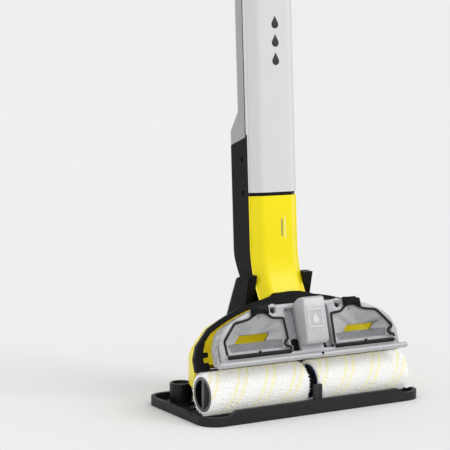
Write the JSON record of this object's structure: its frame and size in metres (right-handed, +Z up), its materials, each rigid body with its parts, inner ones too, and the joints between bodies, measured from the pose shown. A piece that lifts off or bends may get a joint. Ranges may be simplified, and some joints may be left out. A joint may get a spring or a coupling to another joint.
{
  "type": "wet dry floor scrubber",
  "caption": "Upright cordless hard floor washer with twin side by side rollers, a pull out waste water tank and a tilting column, parked in its drying station.",
  "frame": {"origin": "middle of the station's flat underside, on the floor", "axes": "+X along the rollers, -Y is the front where the rollers are, +Z up"},
  "size_m": [0.319, 0.2173, 1.2184],
  "materials": {
    "tray_black": "fine matte texture",
    "peg_black": "satin",
    "rubber_black": "matte",
    "chassis_black": "matte",
    "trim_black": "satin",
    "yellow": "smooth gloss",
    "steel": "turned",
    "gear_white": "moulded acetal",
    "brass": "turned",
    "rubber_grey": "matte",
    "core_grey": "matte",
    "pile": "deep white pile with pale yellow twin stripes",
    "cap_grey": "fine matte texture",
    "coupling_blue": "satin",
    "tank_clear": "smoky translucent",
    "silver": "smooth satin silver",
    "rear_grey": "satin",
    "battery_wrap": "shrink wrap",
    "board_green": "solder mask",
    "tube_clear": "clear hose",
    "tube_metal": "satin anodised",
    "button_yellow": "smooth",
    "fresh_grey": "smoky translucent"
  },
  "bodies": {
    "station": {"station_tray": "tray_black", "station_pegs": "peg_black", "station_feet": "rubber_black"},
    "head": {"head_chassis": "chassis_black", "bay_rim": "trim_black", "bay_liner": "yellow", "head_shell": "yellow", "drive_leg": "chassis_black", "drive_leg_cover": "chassis_black", "drive_motor": "steel", "spray_bars": "chassis_black", "head_screws": "steel", "roll_pin": "steel", "wheel_axles": "steel", "idler_pin": "steel"},
    "drive": {"drive_shaft": "steel", "hub_gear": "gear_white"},
    "idler": {"idler_gear": "gear_white"},
    "pinion": {"motor_pinion": "brass"},
    "rear_wheel_left": {"rear_wheel_left": "rubber_grey"},
    "rear_wheel_right": {"rear_wheel_right": "rubber_grey"},
    "roller_left": {"roller_core_left": "core_grey", "roller_sleeve_left": "pile", "roller_end_cap_left": "cap_grey", "roller_drive_ring_left": "coupling_blue"},
    "roller_right": {"roller_core_right": "core_grey", "roller_sleeve_right": "pile", "roller_end_cap_right": "cap_grey", "roller_drive_ring_right": "coupling_blue"},
    "waste_tank": {"waste_tank_tub": "tank_clear", "window_cover_left": "tank_clear", "window_cover_right": "tank_clear", "window_gasket_left": "rubber_black", "window_gasket_right": "rubber_black", "wiper_bar_left": "rubber_black", "wiper_bar_right": "rubber_black", "tank_grip": "tank_clear"},
    "latch_left": {"cover_latch_left": "trim_black"},
    "latch_right": {"cover_latch_right": "trim_black"},
    "yoke": {"yoke": "chassis_black", "tilt_pins": "steel"},
    "column": {"column_spine": "chassis_black", "lower_front_shell": "yellow", "seam_band": "trim_black", "upper_front_shell": "silver", "lower_rear_housing": "trim_black", "upper_rear_cover": "rear_grey", "battery_pack": "battery_wrap", "control_board": "board_green", "water_pump": "steel", "water_tube": "tube_clear", "charge_socket": "trim_black", "column_screws": "steel", "handle_tube": "tube_metal", "grip_left": "trim_black", "grip_right": "trim_black"},
    "button": {"power_button": "button_yellow"},
    "fresh_tank": {"fresh_tank": "fresh_grey"},
    "tank_cap": {"tank_cap": "trim_black"},
    "socket_flap": {"socket_cover": "rubber_black"}
  },
  "joints": [
    {"name": "head_lift", "type": "slide", "parent": "station", "child": "head", "axis": [0, 0, 1], "range_m": [0, 0.12]},
    {"name": "drive_spin", "type": "hinge", "parent": "head", "child": "drive", "pos_m": [0, -0.0425, 0.0326], "axis": [1, 0, 0], "continuous": true},
    {"name": "idler_spin", "type": "hinge", "parent": "head", "child": "idler", "pos_m": [0, -0.01609, 0.03821], "axis": [1, 0, 0], "continuous": true},
    {"name": "pinion_spin", "type": "hinge", "parent": "head", "child": "pinion", "pos_m": [0, 0.0027, 0.04505], "axis": [1, 0, 0], "continuous": true},
    {"name": "rear_wheel_left_spin", "type": "hinge", "parent": "head", "child": "rear_wheel_left", "pos_m": [-0.062, 0.05, 0.016], "axis": [1, 0, 0], "continuous": true},
    {"name": "rear_wheel_right_spin", "type": "hinge", "parent": "head", "child": "rear_wheel_right", "pos_m": [0.062, 0.05, 0.016], "axis": [1, 0, 0], "continuous": true},
    {"name": "roller_left_off", "type": "slide", "parent": "drive", "child": "roller_left", "axis": [-1, 0, 0], "range_m": [0, 0.08]},
    {"name": "roller_right_off", "type": "slide", "parent": "drive", "child": "roller_right", "axis": [1, 0, 0], "range_m": [0, 0.08]},
    {"name": "waste_tank_pull", "type": "slide", "parent": "head", "child": "waste_tank", "axis": [0, -0.9367, 0.3502], "range_m": [-0.022, 0.12]},
    {"name": "latch_left_open", "type": "hinge", "parent": "waste_tank", "child": "latch_left", "pos_m": [-0.0667, -0.03972, 0.13175], "axis": [-1, 0, 0], "range_deg": [0, 95]},
    {"name": "latch_right_open", "type": "hinge", "parent": "waste_tank", "child": "latch_right", "pos_m": [0.0667, -0.03972, 0.13175], "axis": [-1, 0, 0], "range_deg": [0, 95]},
    {"name": "steer_roll", "type": "hinge", "parent": "head", "child": "yoke", "pos_m": [0, 0.03, 0.088], "axis": [0, 1, 0], "range_deg": [-11, 11]},
    {"name": "column_tilt", "type": "hinge", "parent": "yoke", "child": "column", "pos_m": [0, 0.03, 0.148], "axis": [-1, 0, 0], "range_deg": [0, 75]},
    {"name": "button_press", "type": "slide", "parent": "column", "child": "button", "axis": [0, 0.9985, -0.0546], "range_m": [0, 0.0015], "stiffness_N_per_m": 900},
    {"name": "fresh_tank_pull", "type": "slide", "parent": "column", "child": "fresh_tank", "axis": [0, 0.9985, -0.0546], "range_m": [0, 0.12]},
    {"name": "tank_cap_twist", "type": "hinge", "parent": "fresh_tank", "child": "tank_cap", "pos_m": [0, 0.07092, 0.54836], "axis": [0, 0.0546, 0.9985], "range_deg": [0, 120]},
    {"name": "socket_flap_open", "type": "hinge", "parent": "column", "child": "socket_flap", "pos_m": [0, 0.09392, 0.6777], "axis": [1, 0, 0], "range_deg": [0, 110]}
  ],
  "couplings": [
    {"joint": "idler_spin", "follows": "drive_spin", "ratio": -0.8},
    {"joint": "pinion_spin", "follows": "drive_spin", "ratio": 2.4}
  ]
}
